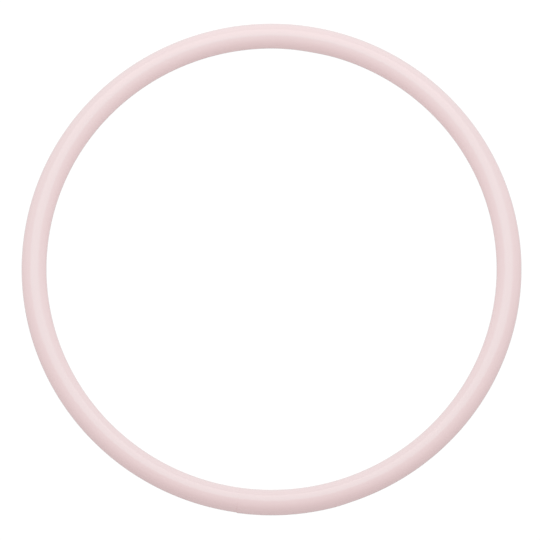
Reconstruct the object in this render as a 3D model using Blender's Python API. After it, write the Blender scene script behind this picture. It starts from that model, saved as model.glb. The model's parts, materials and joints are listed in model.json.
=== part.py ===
"""Rhythmic gymnastics hoop: one bent plastic tube, its two ends butted over an inner plug and stapled.

The hoop lies flat. +Z is up, and the origin is on the floor at the hoop's centre. The butt joint is
just left of -Y, and the staples are sunk into the inner rim, where neither a hand nor the floor meets
them.
"""

import math

import bmesh
import bpy
from mathutils import Matrix, Vector

# Driving dimensions, in metres
OUTER_DIAMETER = 0.500
TUBE_DIAMETER = 0.025
TUBE_WALL = 0.002
SEAM_GAP = 0.0003
SEAM_ANGLE = math.radians(-98)  # from +X, counter-clockwise seen from above

PLUG_LENGTH = 0.100
PLUG_BORE = 0.008
PLUG_FIT_GAP = 0.0004
RIB_COUNT = 9
RIB_PITCH = 0.010
RIB_WIDTH = 0.007
GROOVE_DEPTH = 0.001
GROOVE_FLANK = 0.0004
NOSE_RADIUS = 0.0085

STAPLE_CROWN = 0.010
STAPLE_LEG = 0.007
WIRE_THICKNESS = 0.0007
WIRE_WIDTH = 0.0012
SHOULDER_RADIUS = 0.0004
STAPLE_GAP = 0.0003
STAPLE_OFFSETS = {"near": 0.015, "far": 0.035}  # along the rim, from the seam to the crown's middle
CUTTER_OVERRUN = 0.001

# Mesh fineness
RING_STEPS = 96
SIDES = 20
BORE_STEPS = 10
SHOULDER_STEPS = 2

# Worked out from the driving dimensions
TUBE_RADIUS = TUBE_DIAMETER / 2
BORE_RADIUS = TUBE_RADIUS - TUBE_WALL
RING_RADIUS = OUTER_DIAMETER / 2 - TUBE_RADIUS
INNER_RIM = RING_RADIUS - TUBE_RADIUS
PLUG_RADIUS = BORE_RADIUS - PLUG_FIT_GAP
HALF_SIDE = math.pi / SIDES
TO_CORNER = 1 / math.cos(HALF_SIDE)  # a many-sided section's corner over its flat

COLOURS = {
    "pink_plastic": ((0.82, 0.66, 0.66, 1.0), 0.3, 0.0),
    "natural_plastic": ((0.80, 0.79, 0.75, 1.0), 0.45, 0.0),
    "galvanised_steel": ((0.62, 0.62, 0.60, 1.0), 0.35, 1.0),
}


def clear_scene():
    for obj in list(bpy.data.objects):
        bpy.data.objects.remove(obj, do_unlink=True)


def make_material(name):
    colour, roughness, metallic = COLOURS[name]
    material = bpy.data.materials.new(name)
    material.use_nodes = True
    shader = material.node_tree.nodes["Principled BSDF"]
    shader.inputs["Base Color"].default_value = colour
    shader.inputs["Roughness"].default_value = roughness
    shader.inputs["Metallic"].default_value = metallic
    return material


def make_object(name, bm, material=None):
    """An object from a bmesh whose faces then point outwards."""
    bmesh.ops.recalc_face_normals(bm, faces=bm.faces)
    mesh = bpy.data.meshes.new(name)
    bm.to_mesh(mesh)
    bm.free()
    if material:
        mesh.materials.append(material)
    obj = bpy.data.objects.new(name, mesh)
    bpy.context.scene.collection.objects.link(obj)
    return obj


def shade(obj, degrees):
    obj.data.shade_smooth()
    obj.data.set_sharp_from_angle(angle=math.radians(degrees))


def make_tube(material):
    """The tube's ring-shaped end face, spun round the hoop's axis from one side of the seam to the other.

    The section's flats, not its corners, lie on the true circle, so that the hoop rests on a flat."""
    half_gap = SEAM_GAP / 2 / RING_RADIUS
    stand_up = Matrix.Rotation(math.radians(90), 4, "X") @ Matrix.Rotation(HALF_SIDE, 4, "Z")
    to_start = (
        Matrix.Rotation(SEAM_ANGLE + half_gap, 4, "Z")
        @ Matrix.Translation((RING_RADIUS, 0, TUBE_RADIUS))
        @ stand_up
    )
    bm = bmesh.new()
    for radius in (TUBE_RADIUS, BORE_RADIUS):
        bmesh.ops.create_circle(bm, segments=SIDES, radius=radius * TO_CORNER, matrix=to_start)
    bmesh.ops.bridge_loops(bm, edges=bm.edges[:])
    bmesh.ops.spin(
        bm,
        geom=bm.faces[:],
        angle=2 * (math.pi - half_gap),
        steps=RING_STEPS,
        axis=(0, 0, 1),
        cent=(0, 0, 0),
    )
    tube = make_object("hoop_tube", bm, material)
    shade(tube, 40)
    return tube


def plug_profile():
    """(distance along the plug, radius) round half of its lengthwise section: ribs, noses and bore."""
    half = PLUG_LENGTH / 2
    points = [(-half, NOSE_RADIUS)]
    for rib in range(RIB_COUNT):
        middle = (rib - (RIB_COUNT - 1) / 2) * RIB_PITCH
        start, end = middle - RIB_WIDTH / 2, middle + RIB_WIDTH / 2
        if rib:
            points.append((start - GROOVE_FLANK, PLUG_RADIUS - GROOVE_DEPTH))
        points += [(start, PLUG_RADIUS), (end, PLUG_RADIUS)]
        if rib < RIB_COUNT - 1:
            points.append((end + GROOVE_FLANK, PLUG_RADIUS - GROOVE_DEPTH))
    points.append((half, NOSE_RADIUS))
    points += [(half - PLUG_LENGTH * step / BORE_STEPS, PLUG_BORE / 2) for step in range(BORE_STEPS + 1)]
    return points


def bend_to_ring(bm):
    """Bends a straight piece, which lies along X with +Y outwards, onto the ring at the seam."""
    for vert in bm.verts:
        along, outward, height = vert.co
        angle = SEAM_ANGLE + along / RING_RADIUS
        radius = RING_RADIUS + outward
        vert.co = Vector((radius * math.cos(angle), radius * math.sin(angle), TUBE_RADIUS + height))


def make_plug(material):
    """A turned and bored plug, bent to the hoop's curve."""
    bm = bmesh.new()
    turn = Matrix.Rotation(HALF_SIDE, 4, "X")
    verts = [bm.verts.new(turn @ Vector((along, 0, radius * TO_CORNER))) for along, radius in plug_profile()]
    edges = [bm.edges.new((a, b)) for a, b in zip(verts, verts[1:] + verts[:1])]
    bmesh.ops.spin(
        bm,
        geom=verts + edges,
        angle=2 * math.pi,
        steps=SIDES,
        axis=(1, 0, 0),
        cent=(0, 0, 0),
        use_merge=True,
    )
    bend_to_ring(bm)
    plug = make_object("joint_plug", bm, material)
    shade(plug, 30)
    return plug


def staple_outline(gap, overrun):
    """The U of a staple, crown at the top, as (along, depth) from the middle of its crown's face.

    gap grows it on every side, and overrun carries the crown out past the rim, both for the cutter."""
    outside, inside = STAPLE_CROWN / 2 + gap, STAPLE_CROWN / 2 - WIRE_THICKNESS - gap
    under_crown, tip = WIRE_THICKNESS + gap, STAPLE_LEG + gap
    chisel = tip - WIRE_THICKNESS
    right = [(outside, -overrun), (outside, chisel), (inside, tip), (inside, under_crown)]
    return right + [(-along, depth) for along, depth in reversed(right)]


def round_shoulders(bm):
    """Rounds the two outer corners, where the crown's wire bends into the legs."""
    across = [edge for edge in bm.edges if edge.verts[0].co.xy == edge.verts[1].co.xy]
    bmesh.ops.bevel(
        bm,
        geom=[edge for edge in across if edge.verts[0].co.x == 0],
        offset=SHOULDER_RADIUS,
        segments=SHOULDER_STEPS,
        profile=0.5,
        affect="EDGES",
    )


def make_staple(name, gap=0.0, overrun=0.0, material=None):
    """A staple, or with a gap its cutter, with its crown's middle at the origin and its legs along +X."""
    width = WIRE_WIDTH + 2 * gap
    outline = staple_outline(gap, overrun)
    bm = bmesh.new()
    face = bm.faces.new([bm.verts.new((depth, along, -width / 2)) for along, depth in outline])
    made = bmesh.ops.extrude_face_region(bm, geom=[face])["geom"]
    lifted = [item for item in made if isinstance(item, bmesh.types.BMVert)]
    bmesh.ops.translate(bm, verts=lifted, vec=(0, 0, width))
    if not gap:
        round_shoulders(bm)
    return make_object(name, bm, material)


def place_on_rim(obj, distance):
    """Sets the piece on the inner rim, this far along it from the seam, with its +X pointing outwards."""
    angle = SEAM_ANGLE + distance / INNER_RIM
    obj.location = (INNER_RIM * math.cos(angle), INNER_RIM * math.sin(angle), TUBE_RADIUS)
    obj.rotation_euler = (0, 0, angle)


def cut(obj, cutter):
    modifier = obj.modifiers.new("Cut " + cutter.name, "BOOLEAN")
    modifier.operation = "DIFFERENCE"
    modifier.object = cutter


def make_staples(tube, plug, material):
    """Two staples on each side of the seam, each in its own slot in the tube and the plug."""
    for side, sign in (("left", -1), ("right", 1)):
        for place, offset in STAPLE_OFFSETS.items():
            name = f"staple_{side}_{place}"
            staple = make_staple(name, material=material)
            place_on_rim(staple, sign * offset)
            shade(staple, 30)
            cutter = make_staple(name + "_cutter", STAPLE_GAP, CUTTER_OVERRUN)
            place_on_rim(cutter, sign * offset)
            cutter.hide_render = True
            cutter.display_type = "WIRE"
            cut(tube, cutter)
            cut(plug, cutter)


def main():
    clear_scene()
    tube = make_tube(make_material("pink_plastic"))
    plug = make_plug(make_material("natural_plastic"))
    make_staples(tube, plug, make_material("galvanised_steel"))


main()
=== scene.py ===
"""The looks of the rhythmic hoop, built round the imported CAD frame.

Every CAD node is replaced by one finely made piece: the hollow pink tube with its butt joint, the
ribbed plug inside the joint, and the four wire staples sunk into the inner rim.
"""

import json
import math

import bmesh
import bpy
import numpy as np
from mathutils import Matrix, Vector

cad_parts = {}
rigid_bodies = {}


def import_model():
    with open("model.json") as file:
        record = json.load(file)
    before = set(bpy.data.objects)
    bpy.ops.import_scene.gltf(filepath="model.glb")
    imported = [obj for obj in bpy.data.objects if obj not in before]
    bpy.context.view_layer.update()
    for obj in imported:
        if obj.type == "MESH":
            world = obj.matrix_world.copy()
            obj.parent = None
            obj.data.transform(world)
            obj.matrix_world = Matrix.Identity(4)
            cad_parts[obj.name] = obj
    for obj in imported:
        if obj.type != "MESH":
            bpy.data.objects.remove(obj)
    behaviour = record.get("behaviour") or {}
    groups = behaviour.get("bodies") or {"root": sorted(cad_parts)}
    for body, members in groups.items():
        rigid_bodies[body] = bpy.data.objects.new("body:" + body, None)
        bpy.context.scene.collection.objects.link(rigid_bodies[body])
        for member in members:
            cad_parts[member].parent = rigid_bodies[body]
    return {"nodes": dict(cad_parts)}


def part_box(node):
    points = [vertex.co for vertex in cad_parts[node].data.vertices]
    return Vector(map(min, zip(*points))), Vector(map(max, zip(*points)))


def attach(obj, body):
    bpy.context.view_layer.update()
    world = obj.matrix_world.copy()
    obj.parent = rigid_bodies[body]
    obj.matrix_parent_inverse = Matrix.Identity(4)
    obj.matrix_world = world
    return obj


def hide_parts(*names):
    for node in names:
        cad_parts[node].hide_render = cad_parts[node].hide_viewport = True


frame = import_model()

MM = 0.001
SHARP_ANGLE = math.radians(35)
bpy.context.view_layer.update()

# The hoop's own sizes, read from the frame
TUBE_LOW, TUBE_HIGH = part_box("hoop_tube")
TUBE_RADIUS = (TUBE_HIGH.z - TUBE_LOW.z) / 2
RING_RADIUS = (TUBE_HIGH.x - TUBE_LOW.x) / 2 - TUBE_RADIUS
INNER_RIM = RING_RADIUS - TUBE_RADIUS
STAPLE_NODES = [node for node in sorted(frame["nodes"]) if node.startswith("staple")]

# The tube
WALL = 2.0 * MM
HAIRLINE = 0.02 * MM  # between the butted ends
CUT_ROUNDING = 0.03 * MM
CUT_POINTS = 5  # along each rounded edge of the cut ends
SIDES = 48
RIM_SIDES = 24
RIM_BAND = math.radians(10)  # half the finely divided strip along the inner rim
BORE_POINTS = 360
COARSE_STEP = 3.5 * MM
FINE_STEP = 0.3 * MM
FINE_REACH = 46 * MM  # how far from the joint the finely divided stretch runs
PROUD = 0.45 * MM  # the right end stands this far out on its outer side
PROUD_LENGTH = 92 * MM
PROUD_FADE = 20 * MM
SWELLING = 0.35 * MM  # a slight unevenness of the inner rim, opposite the joint
SWELLING_ANGLE = math.radians(80)
SWELLING_WIDTH = 20 * MM
LIP = 0.12 * MM
LIP_WIDTH = 0.5 * MM

# The plug
RIB_COUNT = 9
RIB_PITCH = 10 * MM
RIB_WIDTH = 7 * MM
RIB_ROUNDING = 0.4 * MM
RIB_EDGE_POINTS = 4
GROOVE_DEPTH = 1.0 * MM
PLUG_HALF = 50 * MM
PLUG_BORE = 4.0 * MM
PLUG_BORE_STEPS = 32
PLUG_GAP = 0.1 * MM
NOSE_RADIUS = 8.5 * MM
PLUG_SIDES = 64

# The staples
CROWN = 10 * MM
LEG = 7 * MM
WIRE_THICKNESS = 0.7 * MM
WIRE_WIDTH = 1.2 * MM
WIRE_ROUNDING = 0.22 * MM
BEND_RADIUS = 0.75 * MM
LEG_POINTS = 12
BEND_STEPS = 6
CROWN_STEPS = 7  # from a bend to the crown's middle
CORNER_POINTS = 5  # round each corner of the wire's section
POCKET_GAP = 0.04 * MM
POCKET_OPENING = 1.0 * MM  # how far a pocket's cutter reaches out past the crown
SLIVER = 0.008 * MM  # edges and faces thinner than this are closed up after a cut

# The studio
FLOOR_HALF = 60.0
FLOOR_ALBEDO = 0.8
WHITE = 1.25  # the radiance that the picture shows as pure white
CONTACT_REACH = 4 * MM
CONTACT_SHADE = 0.7
FILL_LOW = 0.896
FILL_HIGH = 0.566
FILL_HEIGHT = 0.4  # the sine of the height where the room reaches its upper brightness
SOFTBOX_TILT = math.radians(28.5)  # from straight up, towards the back
SOFTBOX_DISTANCE = 2.6
SOFTBOX_WIDTH = 4.0
SOFTBOX_DEPTH = 2.75
SOFTBOX_RADIANCE = 1.59
SHOULDER = [(0.6, 0.598), (0.75, 0.725), (0.9, 0.82), (1.1, 0.9), (WHITE, 1.0)]

# The camera
ELEVATION = math.radians(79)
LENS = 600.0
SENSOR = 36.0
PICTURE = 540
SCALE = 1000.0  # picture points to a metre at the hoop's centre
AIM_LEFT = 1.55 * MM
AIM_DOWN = 1.9 * MM
CLIP_END = 200.0


def mean_angle(node):
    """The angle round the hoop's axis of the middle of a node's vertices."""
    vertices = frame["nodes"][node].data.vertices
    middle = sum((vertex.co for vertex in vertices), Vector()) / len(vertices)
    return math.atan2(middle.y, middle.x)


STAPLE_ANGLES = {node: mean_angle(node) for node in STAPLE_NODES}
SEAM_ANGLE = sum(STAPLE_ANGLES.values()) / len(STAPLE_ANGLES)
HALF_TURN = math.pi * RING_RADIUS


# Mesh helpers


def smoothstep(low, high, value):
    share = np.clip((value - low) / (high - low), 0, 1)
    return share * share * (3 - 2 * share)


def on_ring(straight):
    """Bends points given as (along from the joint, outwards, upwards) round the hoop's axis."""
    angle = SEAM_ANGLE + straight[..., 0] / RING_RADIUS
    radius = RING_RADIUS + straight[..., 1]
    height = TUBE_RADIUS + straight[..., 2]
    return np.stack([radius * np.cos(angle), radius * np.sin(angle), height], axis=-1)


def off_ring(world, first_angle):
    """Straightens what on_ring bent. first_angle is where the piece starts, as an angle from the joint."""
    turn = np.arctan2(world[:, 1], world[:, 0]) - SEAM_ANGLE
    along = ((turn - first_angle) % (2 * math.pi) + first_angle) * RING_RADIUS
    outwards = np.hypot(world[:, 0], world[:, 1]) - RING_RADIUS
    return np.stack([along, outwards, world[:, 2] - TUBE_RADIUS], axis=-1)


def write_straight(mesh, straight):
    """Keeps each point's place before bending, which the materials use."""
    place = mesh.attributes.new("straight", "FLOAT_VECTOR", "POINT")
    place.data.foreach_set("vector", straight.reshape(-1).astype(np.float32))


def skin(name, points, material, caps=False):
    """A piece from a grid of points, closed round its columns, and along its rows too or by end caps."""
    rows, columns = points.shape[:2]
    index = np.arange(rows * columns).reshape(rows, columns)
    beside = np.roll(index, -1, axis=1)
    faces = np.stack([index, beside, np.roll(beside, -1, axis=0), np.roll(index, -1, axis=0)], axis=-1)
    if caps:
        faces = faces[:-1]
    faces = faces.reshape(-1, 4).tolist()
    if caps:
        faces += [index[0].tolist(), index[-1].tolist()]
    mesh = bpy.data.meshes.new(name)
    mesh.from_pydata(points.reshape(-1, 3).tolist(), [], faces)
    bm = bmesh.new()
    bm.from_mesh(mesh)
    bmesh.ops.recalc_face_normals(bm, faces=bm.faces)
    bm.to_mesh(mesh)
    bm.free()
    mesh.shade_smooth()
    mesh.set_sharp_from_angle(angle=SHARP_ANGLE)
    mesh.materials.append(material)
    piece = bpy.data.objects.new(name, mesh)
    bpy.context.scene.collection.objects.link(piece)
    return piece


def turned(name, profile, angles, material, radial_change=None):
    """A piece turned about the tube's own centre line from a closed profile of (along, radius), then bent
    to the ring. radial_change(along, angle, radius) moves each point in or out."""
    along, radius = (np.array(column)[:, None] for column in zip(*profile))
    along, radius, angle = np.broadcast_arrays(along, radius, angles)
    if radial_change:
        radius = radius + radial_change(along, angle, radius)
    straight = np.stack([along, radius * np.cos(angle), radius * np.sin(angle)], axis=-1)
    return skin(name, on_ring(straight), material)


# Materials


class Nodes:
    """A node tree with a short call for making a node and filling its inputs with values or links."""

    def __init__(self, owner):
        owner.use_nodes = True
        self.tree = owner.node_tree

    def node(self, kind, inputs=None, **settings):
        made = self.tree.nodes.new(kind)
        for key, value in settings.items():
            setattr(made, key, value)
        for key, value in (inputs or {}).items():
            if isinstance(value, bpy.types.NodeSocket):
                self.tree.links.new(value, made.inputs[key])
            else:
                made.inputs[key].default_value = value
        return made

    def show_to_camera(self, seen, otherwise, output):
        """Gives the output one shader for camera rays and another for all other rays."""
        path = self.node("ShaderNodeLightPath")
        mix = self.node(
            "ShaderNodeMixShader",
            {0: path.outputs["Is Camera Ray"], 1: otherwise.outputs[0], 2: seen.outputs[0]},
        )
        self.tree.links.new(mix.outputs[0], self.tree.nodes[output].inputs["Surface"])


class Shader(Nodes):
    """A material with short calls for the textures and sockets that the pieces' materials share."""

    def __init__(self, name):
        self.material = bpy.data.materials.new(name)
        super().__init__(self.material)
        self.surface = self.tree.nodes["Principled BSDF"]

    def noise(self, scale, detail=2.0, roughness=0.5):
        """Noise over the piece's unbent coordinates, in metres, times a scale for each axis."""
        straight = self.node("ShaderNodeAttribute", attribute_name="straight")
        place = self.node("ShaderNodeMapping", {"Vector": straight.outputs["Vector"], "Scale": scale})
        made = self.node(
            "ShaderNodeTexNoise",
            {"Vector": place.outputs["Vector"], "Scale": 1.0, "Detail": detail, "Roughness": roughness},
        )
        return made.outputs["Fac"]

    def spread(self, value, low, high, out_low, out_high):
        made = self.node(
            "ShaderNodeMapRange",
            {"Value": value, "From Min": low, "From Max": high, "To Min": out_low, "To Max": out_high},
        )
        return made.outputs["Result"]

    def add(self, first, second):
        made = self.node("ShaderNodeMath", {0: first, 1: second}, operation="ADD")
        return made.outputs[0]

    def blend(self, share, first, second):
        made = self.node("ShaderNodeMix", data_type="RGBA")
        self.tree.links.new(share, made.inputs["Factor"])
        for socket, value in (("A", first), ("B", second)):
            target = next(s for s in made.inputs if s.name == socket and s.type == "RGBA")
            target.default_value = value
        return next(s for s in made.outputs if s.type == "RGBA")

    def bump(self, height, distance):
        made = self.node("ShaderNodeBump", {"Height": height, "Strength": 1.0, "Distance": distance})
        self.link("Normal", made.outputs["Normal"])

    def link(self, name, socket):
        self.tree.links.new(socket, self.surface.inputs[name])

    def set(self, name, value):
        self.surface.inputs[name].default_value = value


def pink_plastic():
    """Satin pale pink polyethylene, finely drawn along its length as it was extruded, faintly clouded."""
    shader = Shader("pink_satin_plastic")
    clouds = shader.noise((14, 60, 60), detail=3)
    streaks = shader.noise((5, 900, 900), detail=2)
    peel = shader.noise((420, 420, 420), detail=1)
    shader.link("Base Color", shader.blend(clouds, (0.91, 0.669, 0.674, 1), (0.93, 0.689, 0.694, 1)))
    shader.link("Roughness", shader.spread(shader.add(clouds, streaks), 0.6, 1.4, 0.05, 0.1))
    shader.bump(shader.add(streaks, peel), 0.0025 * MM)
    shader.set("IOR", 1.5)
    return shader.material


def natural_plastic():
    """Unpigmented moulded plastic: milky, with soft flow marks and a fine spark-eroded grain."""
    shader = Shader("natural_moulded_plastic")
    flow = shader.noise((40, 160, 160), detail=3)
    grain = shader.noise((2500, 2500, 2500), detail=1)
    shader.link("Base Color", shader.blend(flow, (0.74, 0.73, 0.69, 1), (0.84, 0.83, 0.79, 1)))
    shader.link("Roughness", shader.spread(grain, 0.3, 0.7, 0.4, 0.55))
    shader.bump(shader.add(flow, grain), 0.015 * MM)
    shader.set("IOR", 1.5)
    shader.set("Subsurface Weight", 0.3)
    shader.set("Subsurface Radius", (1.0, 0.9, 0.7))
    shader.set("Subsurface Scale", 3 * MM)
    return shader.material


def galvanised_wire():
    """Drawn and zinc-plated steel wire: lines along the wire, and dull grey patches."""
    shader = Shader("galvanised_wire")
    patches = shader.noise((900, 900, 900), detail=3, roughness=0.6)
    drawn = shader.noise((120, 9000, 9000), detail=2)
    shader.link("Base Color", shader.blend(patches, (0.48, 0.49, 0.50, 1), (0.72, 0.72, 0.71, 1)))
    shader.link("Roughness", shader.spread(shader.add(patches, drawn), 0.6, 1.4, 0.24, 0.45))
    shader.bump(drawn, 0.01 * MM)
    shader.set("Metallic", 1.0)
    return shader.material


# The tube


def rim_position(along, angle, staple_angle):
    """Where a point of the tube lies about a staple's middle, along the inner rim and across it."""
    lengthwise = (along / RING_RADIUS + SEAM_ANGLE - staple_angle + math.pi) % (2 * math.pi) - math.pi
    crosswise = angle % (2 * math.pi) - math.pi
    return lengthwise * INNER_RIM, crosswise * TUBE_RADIUS


def raised_lip(along, angle):
    """The plastic that each staple's crown pushed up round its edge."""
    height = 0
    for staple_angle in STAPLE_ANGLES.values():
        lengthwise, crosswise = rim_position(along, angle, staple_angle)
        past_end = np.maximum(np.abs(lengthwise) - CROWN / 2, 0)
        past_side = np.maximum(np.abs(crosswise) - WIRE_WIDTH / 2, 0)
        height = height + LIP * np.exp(-((np.hypot(past_end, past_side) / LIP_WIDTH) ** 2))
    return height


def tube_unevenness(along, angle, radius):
    """How far a point of the tube's outside stands from a true round, none in its bore."""
    outer_side = np.maximum(np.cos(angle), 0) ** 2
    inner_side = np.maximum(-np.cos(angle), 0) ** 2
    proud = PROUD * outer_side * (1 - smoothstep(PROUD_LENGTH, PROUD_LENGTH + PROUD_FADE, along))
    from_swelling = (SEAM_ANGLE + along / RING_RADIUS - SWELLING_ANGLE + math.pi) % (2 * math.pi) - math.pi
    swelling = SWELLING * inner_side * np.exp(-((from_swelling * RING_RADIUS / SWELLING_WIDTH) ** 2))
    outside = smoothstep(TUBE_RADIUS - WALL, TUBE_RADIUS - CUT_ROUNDING, radius)
    return outside * (proud + swelling + raised_lip(along, angle))


def tube_profile():
    """(along, radius) round the tube's wall: along the outside, in over one cut end, back along the bore."""
    start = HAIRLINE / 2
    bore = TUBE_RADIUS - WALL
    rounding = [
        (start + CUT_ROUNDING * (1 - math.sin(turn)), TUBE_RADIUS - CUT_ROUNDING * (1 - math.cos(turn)))
        for turn in np.linspace(math.pi / 2, 0, CUT_POINTS)
    ]
    fine = np.arange(start + 2 * CUT_ROUNDING, FINE_REACH, FINE_STEP)
    coarse = np.linspace(FINE_REACH, HALF_TURN, round((HALF_TURN - FINE_REACH) / COARSE_STEP))
    right = rounding + [(along, TUBE_RADIUS) for along in np.concatenate([fine, coarse])]
    left = [(2 * HALF_TURN - along, radius) for along, radius in reversed(right[:-1])]
    inside = [(along, bore) for along in np.linspace(2 * HALF_TURN - start, start, BORE_POINTS)]
    return right + left + inside


def tube_angles():
    """Angles round the tube, close together near the inner rim."""
    near_rim = np.linspace(math.pi - RIM_BAND, math.pi + RIM_BAND, RIM_SIDES + 1)
    elsewhere = np.linspace(math.pi + RIM_BAND, 3 * math.pi - RIM_BAND, SIDES + 1)
    return np.concatenate([near_rim, elsewhere[1:-1]])


def make_tube():
    tube = turned("pink_tube", tube_profile(), tube_angles(), pink_plastic(), tube_unevenness)
    cut_pockets(tube, 0)
    return tube


# The plug


def plug_profile():
    """(along, radius) round the plug's wall: ribs with rounded edges, tapered noses, and its bore."""
    top = TUBE_RADIUS - WALL - PLUG_GAP
    edge = RIB_WIDTH / 2 - RIB_ROUNDING
    quarter = np.linspace(0, math.pi / 2, RIB_EDGE_POINTS)
    rising = [(-edge - RIB_ROUNDING * math.cos(t), top - RIB_ROUNDING * (1 - math.sin(t))) for t in quarter]
    falling = [(-along, radius) for along, radius in reversed(rising)]
    points = [(-PLUG_HALF, PLUG_BORE), (-PLUG_HALF, NOSE_RADIUS)]
    for rib in range(RIB_COUNT):
        middle = (rib - (RIB_COUNT - 1) / 2) * RIB_PITCH
        if rib:
            points.append((middle - RIB_WIDTH / 2, top - GROOVE_DEPTH))
        points += [(middle + along, radius) for along, radius in rising + falling]
        if rib < RIB_COUNT - 1:
            points.append((middle + RIB_WIDTH / 2, top - GROOVE_DEPTH))
    points.append((PLUG_HALF, NOSE_RADIUS))
    points += [(along, PLUG_BORE) for along in np.linspace(PLUG_HALF, -PLUG_HALF, PLUG_BORE_STEPS + 1)[:-1]]
    return points


def make_plug():
    angles = np.linspace(0, 2 * math.pi, PLUG_SIDES, endpoint=False)
    plug = turned("ribbed_plug", plug_profile(), angles, natural_plastic())
    cut_pockets(plug, -math.pi)
    return plug


# The staples


def staple_path():
    """(along, depth, heading) down a staple's wire: leg, bend, crown, bend, leg."""
    side = CROWN / 2 - WIRE_THICKNESS / 2
    crown_depth = WIRE_THICKNESS / 2
    bend = BEND_RADIUS - WIRE_THICKNESS / 2
    leg = [(-side, depth, 0.0) for depth in np.linspace(LEG, crown_depth + bend, LEG_POINTS)]
    turn = [
        (-side + bend * (1 - math.cos(t)), crown_depth + bend * (1 - math.sin(t)), t)
        for t in np.linspace(0, math.pi / 2, BEND_STEPS + 1)[1:]
    ]
    crown = [
        (along, crown_depth, math.pi / 2) for along in np.linspace(-side + bend, 0, CROWN_STEPS + 1)[1:]
    ]
    first = leg + turn + crown
    return first + [(-along, depth, math.pi - heading) for along, depth, heading in reversed(first[:-1])]


def wire_section(growth):
    """(across, sideways) round the wire's flattened section."""
    half_thickness, half_width = WIRE_THICKNESS / 2 - WIRE_ROUNDING, WIRE_WIDTH / 2 - WIRE_ROUNDING
    reach = WIRE_ROUNDING + growth
    corners = [(1, 1), (-1, 1), (-1, -1), (1, -1)]
    return [
        (x * half_thickness + reach * math.cos(t), y * half_width + reach * math.sin(t))
        for quarter, (x, y) in enumerate(corners)
        for t in np.linspace(quarter * math.pi / 2, (quarter + 1) * math.pi / 2, CORNER_POINTS)
    ]


def bent_wire(growth=0.0, opening=0.0):
    """The wire's section at each step of its path, as (along, depth, sideways), with chisel points.

    A pocket's cutter is a wire with some growth, whose crown reaches out of the rim by its opening."""
    rings = []
    path = staple_path()
    for step, (along, depth, heading) in enumerate(path):
        tip = step in (0, len(path) - 1)
        ring = []
        for across, sideways in wire_section(growth):
            x = along - across * math.cos(heading)
            y = depth - across * math.sin(heading)
            if tip:
                y += growth + (across if along > 0 else -across)
            if across > 0:
                y -= opening * math.sin(heading)
            ring.append((x, y, sideways))
        rings.append(ring)
    return np.array(rings)


def straight_wire():
    """The same points on the wire before it was bent, as (travelled, across, sideways)."""
    path = np.array(staple_path())
    steps = np.linalg.norm(np.diff(path[:, :2], axis=0), axis=1)
    travelled = np.concatenate([[0], np.cumsum(steps)])
    return np.array([[(distance, *point) for point in wire_section(0)] for distance in travelled])


def in_rim(name, points, staple_angle, material):
    """A wire whose points are (along, depth, sideways) from a place on the inner rim."""
    spin = np.array([-math.sin(staple_angle), math.cos(staple_angle)])
    out = np.array([math.cos(staple_angle), math.sin(staple_angle)])
    flat = points[..., :1] * spin + (INNER_RIM + points[..., 1:2]) * out
    world = np.concatenate([flat, TUBE_RADIUS + points[..., 2:]], axis=-1)
    return skin(name, world, material, caps=True)


def make_staple(node, material):
    staple = in_rim(node + "_wire", bent_wire(), STAPLE_ANGLES[node], material)
    write_straight(staple.data, straight_wire())
    return staple


def remove_slivers(mesh):
    """Splits the many-sided faces that a Boolean leaves and closes up its slivers."""
    bm = bmesh.new()
    bm.from_mesh(mesh)
    many_sided = [face for face in bm.faces if len(face.verts) > 4]
    bmesh.ops.triangulate(bm, faces=many_sided, ngon_method="BEAUTY")
    bmesh.ops.dissolve_degenerate(bm, dist=SLIVER, edges=bm.edges)
    bm.to_mesh(mesh)
    bm.free()


def cut_pockets(piece, first_angle):
    """Cuts the staples' pockets out of a turned piece, and writes its unbent coordinates."""
    pockets = bpy.data.collections.new("pockets")
    for angle in STAPLE_ANGLES.values():
        cutter = in_rim("pocket", bent_wire(POCKET_GAP, POCKET_OPENING), angle, piece.active_material)
        pockets.objects.link(cutter)
    cut = piece.modifiers.new("pockets", "BOOLEAN")
    cut.solver = "MANIFOLD"
    cut.operand_type = "COLLECTION"
    cut.collection = pockets
    mesh = bpy.data.meshes.new_from_object(piece.evaluated_get(bpy.context.evaluated_depsgraph_get()))
    piece.modifiers.clear()
    piece.data = mesh
    for cutter in list(pockets.objects):
        bpy.data.objects.remove(cutter)
    bpy.data.collections.remove(pockets)
    remove_slivers(mesh)
    world = np.empty(3 * len(mesh.vertices), np.float32)
    mesh.vertices.foreach_get("co", world)
    write_straight(mesh, off_ring(world.reshape(-1, 3), first_angle))
    mesh.set_sharp_from_angle(angle=SHARP_ANGLE)


# The studio


def floor_material():
    """White all over to the camera, but for a soft shade where something touches it, and a plain pale
    floor to every other ray."""
    material = bpy.data.materials.new("white_floor")
    nodes = Nodes(material)
    contact = nodes.node("ShaderNodeAmbientOcclusion", {"Distance": CONTACT_REACH})
    shade = nodes.node(
        "ShaderNodeMapRange",
        {"Value": contact.outputs["AO"], "To Min": WHITE * (1 - CONTACT_SHADE), "To Max": WHITE},
    )
    seen = nodes.node("ShaderNodeEmission", {"Strength": shade.outputs["Result"]})
    lit = nodes.node("ShaderNodeBsdfDiffuse", {"Color": (FLOOR_ALBEDO,) * 3 + (1,)})
    nodes.show_to_camera(seen, lit, "Material Output")
    return material


def make_floor():
    mesh = bpy.data.meshes.new("studio_floor")
    bm = bmesh.new()
    bmesh.ops.create_grid(bm, x_segments=1, y_segments=1, size=FLOOR_HALF)
    bm.to_mesh(mesh)
    bm.free()
    mesh.materials.append(floor_material())
    floor = bpy.data.objects.new("studio_floor", mesh)
    bpy.context.scene.collection.objects.link(floor)


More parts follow.
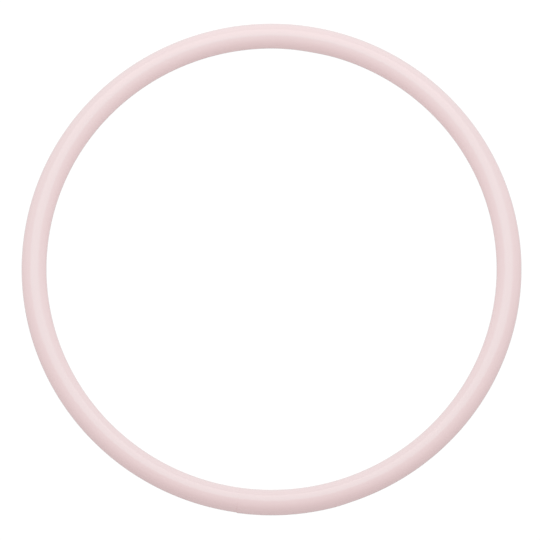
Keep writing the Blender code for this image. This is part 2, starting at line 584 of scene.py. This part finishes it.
def make_world():
    """A pale room that fills in the shadows, brightest near the floor, and plain white to the camera."""
    world = bpy.data.worlds.new("white_room")
    bpy.context.scene.world = world
    world.cycles.sampling_method = "NONE"  # evenly bright, so chance rays find it with less grain
    nodes = Nodes(world)
    direction = nodes.node("ShaderNodeTexCoord")
    parts = nodes.node("ShaderNodeSeparateXYZ", {0: direction.outputs["Generated"]})
    strength = nodes.node(
        "ShaderNodeMapRange",
        {"Value": parts.outputs["Z"], "From Max": FILL_HEIGHT, "To Min": FILL_LOW, "To Max": FILL_HIGH},
        interpolation_type="SMOOTHSTEP",
    )
    white = (1, 1, 1, 1)
    fill = nodes.node("ShaderNodeBackground", {"Color": white, "Strength": strength.outputs["Result"]})
    seen = nodes.node("ShaderNodeBackground", {"Color": white, "Strength": WHITE})
    nodes.show_to_camera(seen, fill, "World Output")


def add_softbox():
    """A rectangular softbox over the hoop, leaning towards the back and facing the hoop's centre."""
    light = bpy.data.lights.new("softbox", "AREA")
    light.shape = "RECTANGLE"
    light.size = SOFTBOX_WIDTH
    light.size_y = SOFTBOX_DEPTH
    light.energy = SOFTBOX_RADIANCE * math.pi * SOFTBOX_WIDTH * SOFTBOX_DEPTH
    lamp = bpy.data.objects.new("softbox", light)
    bpy.context.scene.collection.objects.link(lamp)
    direction = Vector((0, math.sin(SOFTBOX_TILT), math.cos(SOFTBOX_TILT)))
    lamp.location = Vector((0, 0, TUBE_RADIUS)) + direction * SOFTBOX_DISTANCE
    lamp.rotation_euler = (-SOFTBOX_TILT, 0, 0)
    lamp.visible_camera = False


def add_camera():
    camera = bpy.data.cameras.new("camera")
    camera.lens = LENS
    camera.sensor_width = SENSOR
    camera.clip_end = CLIP_END
    holder = bpy.data.objects.new("camera", camera)
    bpy.context.scene.collection.objects.link(holder)
    distance = LENS / SENSOR * PICTURE / SCALE
    back = Vector((0, -math.cos(ELEVATION), math.sin(ELEVATION)))
    up = Vector((0, math.sin(ELEVATION), math.cos(ELEVATION)))
    aim = Vector((-AIM_LEFT, 0, TUBE_RADIUS)) - up * AIM_DOWN
    holder.location = aim + back * distance
    holder.rotation_mode = "QUATERNION"
    holder.rotation_quaternion = (-back).to_track_quat("-Z", "Y")
    bpy.context.scene.camera = holder


def set_tones():
    """Plain colours with a soft shoulder near white, as a camera's own picture has."""
    view = bpy.context.scene.view_settings
    view.view_transform = "Standard"
    view.use_curve_mapping = True
    mapping = view.curve_mapping
    mapping.use_clip = False
    shoulder = mapping.curves[3]
    shoulder.points[1].location = SHOULDER[-1]
    for point in SHOULDER[:-1]:
        shoulder.points.new(*point)
    mapping.update()


def hand_over(piece, node):
    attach(piece, "root")
    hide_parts(node)


def main():
    hand_over(make_tube(), "hoop_tube")
    hand_over(make_plug(), "joint_plug")
    steel = galvanised_wire()
    for node in STAPLE_NODES:
        hand_over(make_staple(node, steel), node)
    make_floor()
    make_world()
    add_softbox()
    add_camera()
    set_tones()


main()
